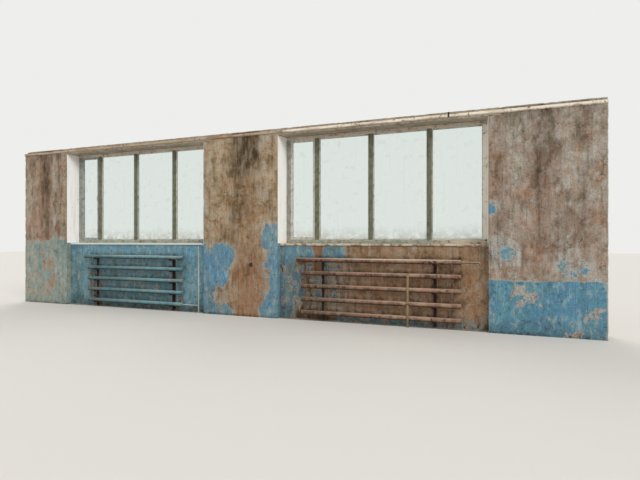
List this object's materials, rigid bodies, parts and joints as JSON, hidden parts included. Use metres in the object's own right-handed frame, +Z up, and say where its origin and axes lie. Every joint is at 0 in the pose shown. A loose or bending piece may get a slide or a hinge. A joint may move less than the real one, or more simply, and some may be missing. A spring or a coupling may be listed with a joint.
{
  "type": "factory window wall",
  "caption": "Old factory room wall of plastered brick piers with wide timber windows, recessed aprons, window boards and welded pipe radiators",
  "frame": {"origin": "middle of the footprint's box, at floor level under the wall", "axes": "+X along the wall from the far end to the near end, +Y from the room to the outside, +Z up"},
  "size_m": [13.51, 0.576, 3.96],
  "materials": {
    "pier_plaster": "bare stained brown plaster over a peeling blue dado",
    "far_apron_paint": "peeling blue paint on plaster",
    "near_apron_plaster": "bare brown plaster with remains of blue paint",
    "lintel_concrete": "rust-stained concrete",
    "ledge_paint": "flaking cream paint",
    "board_paint": "worn white paint on concrete",
    "sill_sheet": "weathered galvanised sheet",
    "reveal_whitewash": "chalky whitewash",
    "frame_paint": "weathered grey-white paint on timber",
    "sash_paint": "weathered grey-white paint on timber",
    "window_glass": "dusty clear glass",
    "far_pipe_paint": "peeling grey-blue paint on steel",
    "near_pipe_rust": "rusty steel with remains of paint",
    "post_rust": "dark rusty steel",
    "pale_pipe_paint": "pale worn paint on steel"
  },
  "bodies": {
    "root": {"far_pier": "pier_plaster", "middle_pier": "pier_plaster", "near_pier": "pier_plaster", "far_apron": "far_apron_paint", "near_apron": "near_apron_plaster", "far_lintel": "lintel_concrete", "near_lintel": "lintel_concrete", "ledge_strip": "ledge_paint", "far_window_board": "board_paint", "near_window_board": "board_paint", "far_outer_sill": "sill_sheet", "near_outer_sill": "sill_sheet", "far_reveals": "reveal_whitewash", "near_reveals": "reveal_whitewash", "far_frame_head": "frame_paint", "far_frame_rail": "frame_paint", "far_frame_jambs": "frame_paint", "far_frame_mullions": "frame_paint", "far_glazing_stops": "frame_paint", "far_glazing_beads": "frame_paint", "far_glass": "window_glass", "far_vent_sash": "sash_paint", "far_vent_bead": "sash_paint", "far_vent_glass": "window_glass", "near_frame_head": "frame_paint", "near_frame_rail": "frame_paint", "near_frame_jambs": "frame_paint", "near_frame_mullions": "frame_paint", "near_glazing_stops": "frame_paint", "near_glazing_beads": "frame_paint", "near_glass": "window_glass", "near_vent_sash": "sash_paint", "near_vent_bead": "sash_paint", "near_vent_glass": "window_glass", "far_radiator_pipes": "far_pipe_paint", "far_radiator_links": "far_pipe_paint", "far_radiator_plates": "far_pipe_paint", "far_radiator_posts": "post_rust", "far_riser": "pale_pipe_paint", "near_radiator_pipes": "near_pipe_rust", "near_radiator_links": "near_pipe_rust", "near_radiator_plates": "near_pipe_rust", "near_radiator_posts": "post_rust", "near_retaining_bar": "pale_pipe_paint", "near_feed_pipe": "near_pipe_rust"}
  },
  "joints": []
}
